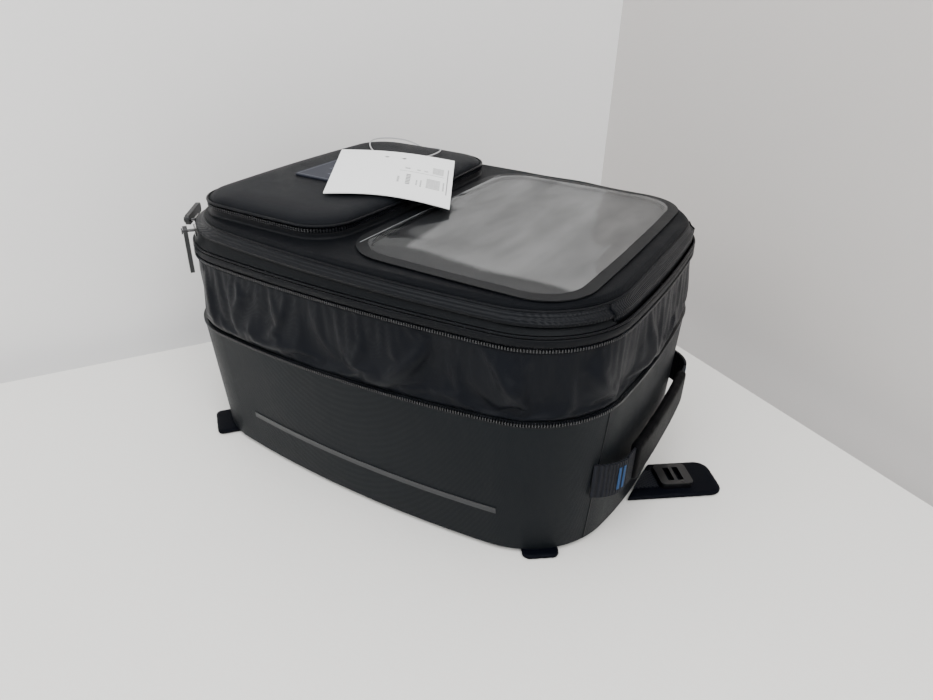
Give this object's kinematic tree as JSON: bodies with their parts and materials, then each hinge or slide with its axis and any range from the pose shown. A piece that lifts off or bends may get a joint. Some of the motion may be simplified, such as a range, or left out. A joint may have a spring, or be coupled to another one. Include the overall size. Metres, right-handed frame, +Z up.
{
  "type": "motorcycle tank bag",
  "caption": "Expandable motorcycle tank bag with zipped lid, clear map window, flat lid pocket, end handles, mounting flaps and a card hang tag.",
  "frame": {"origin": "centre of the bag's footprint, on the plane of the bottom panel's underside", "axes": "+X to the front of the bag, where the lid hinges; +Y to its left side; +Z up"},
  "size_m": [0.4611, 0.2986, 0.219],
  "materials": {
    "shell_laminate": "satin fabric laminated on moulded foam",
    "lining": "woven lining",
    "stiffener": "hidden sheet",
    "base_rubber": "non-slip, matt",
    "reflective": "reflective film, satin",
    "zip_tape": "coated zip tape",
    "zip_teeth": "black moulded teeth",
    "gusset_fabric": "thin coated fabric, semi-gloss",
    "band_fabric": "coated fabric",
    "piping": "bound cord",
    "lid_fabric": "padded, satin fabric",
    "map_pocket": "smooth coated fabric",
    "map_film": "clear film",
    "window_trim": "sewn binding",
    "pocket_fabric": "padded, satin fabric",
    "label_rubber": "moulded, matt",
    "slider_metal": "black enamel",
    "pull_rubber": "moulded, matt",
    "webbing": "ribbed webbing",
    "grip_foam": "padded sleeve",
    "bar_tack_thread": "light blue thread",
    "flap_fabric": "coated, padded",
    "buckle_plastic": "moulded, glossy",
    "card": "white card",
    "string": "twisted, light grey"
  },
  "bodies": {
    "shell": {"left_side_panel": "shell_laminate", "right_side_panel": "shell_laminate", "front_end_panel": "shell_laminate", "rear_end_panel": "shell_laminate", "wall_lining": "lining", "floor_lining": "lining", "base_stiffener": "stiffener", "base_panel": "base_rubber", "left_reflective_stripe": "reflective", "right_reflective_stripe": "reflective", "expansion_tape_lower": "zip_tape", "expansion_teeth_lower": "zip_teeth", "front_left_handle_end": "webbing", "front_right_handle_end": "webbing", "rear_left_handle_end": "webbing", "rear_right_handle_end": "webbing", "handle_bar_tacks": "bar_tack_thread"},
    "rim": {"expansion_gusset": "gusset_fabric", "expansion_tape_upper": "zip_tape", "expansion_teeth_upper": "zip_teeth", "rim_band": "band_fabric", "rim_piping": "piping", "main_zip_tape_lower": "zip_tape", "main_zip_coil_lower": "zip_teeth", "lid_hinge_band": "band_fabric"},
    "lid": {"lid_panel": "lid_fabric", "lid_lining": "lining", "lid_edge_piping": "piping", "map_pocket_backing": "map_pocket", "map_window_film": "map_film", "window_binding": "window_trim", "main_zip_tape_upper": "zip_tape", "main_zip_coil_upper": "zip_teeth", "pocket_wall": "band_fabric", "pocket_zip_lower": "zip_teeth", "pocket_hinge_strip": "band_fabric"},
    "pocket_flap": {"pocket_top_panel": "pocket_fabric", "pocket_zip_upper": "zip_teeth", "label_patch": "label_rubber"},
    "pocket_slider": {"pocket_slider": "slider_metal", "pocket_pull": "pull_rubber", "tag_string": "string", "hang_tag": "card"},
    "main_slider_right": {"main_slider_right": "slider_metal"},
    "main_pull_right": {"main_pull_right": "pull_rubber"},
    "main_slider_rear": {"main_slider_rear": "slider_metal"},
    "main_pull_rear": {"main_pull_rear": "pull_rubber"},
    "expansion_slider": {"expansion_slider": "slider_metal"},
    "expansion_pull": {"expansion_pull": "pull_rubber"},
    "front_handle": {"front_handle_webbing": "webbing", "front_handle_grip": "grip_foam"},
    "rear_handle": {"rear_handle_webbing": "webbing", "rear_handle_grip": "grip_foam"},
    "rear_left_flap": {"rear_left_flap": "flap_fabric"},
    "rear_right_flap": {"rear_right_flap": "flap_fabric"},
    "front_left_flap": {"front_left_flap": "flap_fabric"},
    "front_right_flap": {"front_right_flap": "flap_fabric"},
    "front_strap": {"front_strap_pad": "flap_fabric", "front_strap_webbing": "webbing", "strap_buckle": "buckle_plastic"}
  },
  "joints": [
    {"name": "expansion_slide", "type": "slide", "parent": "shell", "child": "rim", "axis": [0, 0, 1], "range_m": [-0.046, 0], "deforming": ["expansion_gusset"]},
    {"name": "lid_hinge", "type": "hinge", "parent": "rim", "child": "lid", "pos_m": [0.1785, 0, 0.1927], "axis": [0, 1, 0], "range_deg": [0, 110]},
    {"name": "pocket_hinge", "type": "hinge", "parent": "lid", "child": "pocket_flap", "pos_m": [-0.1682, 0, 0.2076], "axis": [0, -1, 0], "range_deg": [0, 120]},
    {"name": "pocket_zip", "type": "slide", "parent": "pocket_flap", "child": "pocket_slider", "axis": [1, 0, 0], "range_m": [0, 0.045]},
    {"name": "main_zip_right", "type": "hinge", "parent": "rim", "child": "main_slider_right", "pos_m": [-0.11072, -0.06661, 0.186], "axis": [0, 0, 1], "range_deg": [0, 32]},
    {"name": "main_pull_right_swing", "type": "hinge", "parent": "main_slider_right", "child": "main_pull_right", "pos_m": [-0.15517, -0.1301, 0.186], "axis": [-0.5736, -0.8192, 0], "range_deg": [0, 75]},
    {"name": "main_zip_rear", "type": "hinge", "parent": "rim", "child": "main_slider_rear", "pos_m": [-0.11072, -0.06661, 0.186], "axis": [0, 0, 1], "range_deg": [-32, 0]},
    {"name": "main_pull_rear_swing", "type": "hinge", "parent": "main_slider_rear", "child": "main_pull_rear", "pos_m": [-0.1742, -0.11106, 0.186], "axis": [-0.8192, -0.5736, 0], "range_deg": [0, 90]},
    {"name": "expansion_zip", "type": "hinge", "parent": "shell", "child": "expansion_slider", "pos_m": [-0.11543, 0.06904, 0.10757], "axis": [-0.0384, 0, 0.9993], "range_deg": [-30, 12]},
    {"name": "expansion_pull_swing", "type": "hinge", "parent": "expansion_slider", "child": "expansion_pull", "pos_m": [-0.16786, 0.12136, 0.10925], "axis": [-0.7066, 0.7071, -0.0271], "range_deg": [-80, 80]},
    {"name": "front_handle_hinge", "type": "hinge", "parent": "shell", "child": "front_handle", "pos_m": [0.1962, 0, 0.062], "axis": [0, 1, 0], "range_deg": [-12, 12]},
    {"name": "rear_handle_hinge", "type": "hinge", "parent": "shell", "child": "rear_handle", "pos_m": [-0.1962, 0, 0.062], "axis": [0, 1, 0], "range_deg": [-12, 12]},
    {"name": "rear_left_flap_hinge", "type": "hinge", "parent": "shell", "child": "rear_left_flap", "pos_m": [-0.14003, 0.10475, 0.0036], "axis": [-0.7738, -0.6334, 0], "range_deg": [0, 75]},
    {"name": "rear_right_flap_hinge", "type": "hinge", "parent": "shell", "child": "rear_right_flap", "pos_m": [-0.14003, -0.10475, 0.0036], "axis": [0.7738, -0.6334, 0], "range_deg": [0, 75]},
    {"name": "front_left_flap_hinge", "type": "hinge", "parent": "shell", "child": "front_left_flap", "pos_m": [0.14279, 0.1012, 0.0036], "axis": [-0.7997, 0.6004, 0], "range_deg": [0, 75]},
    {"name": "front_right_flap_hinge", "type": "hinge", "parent": "shell", "child": "front_right_flap", "pos_m": [0.14279, -0.1012, 0.0036], "axis": [0.7997, 0.6004, 0], "range_deg": [0, 75]},
    {"name": "front_strap_hinge", "type": "hinge", "parent": "shell", "child": "front_strap", "pos_m": [0.1916, 0, 0.0036], "axis": [0, 1, 0], "range_deg": [0, 80]}
  ]
}
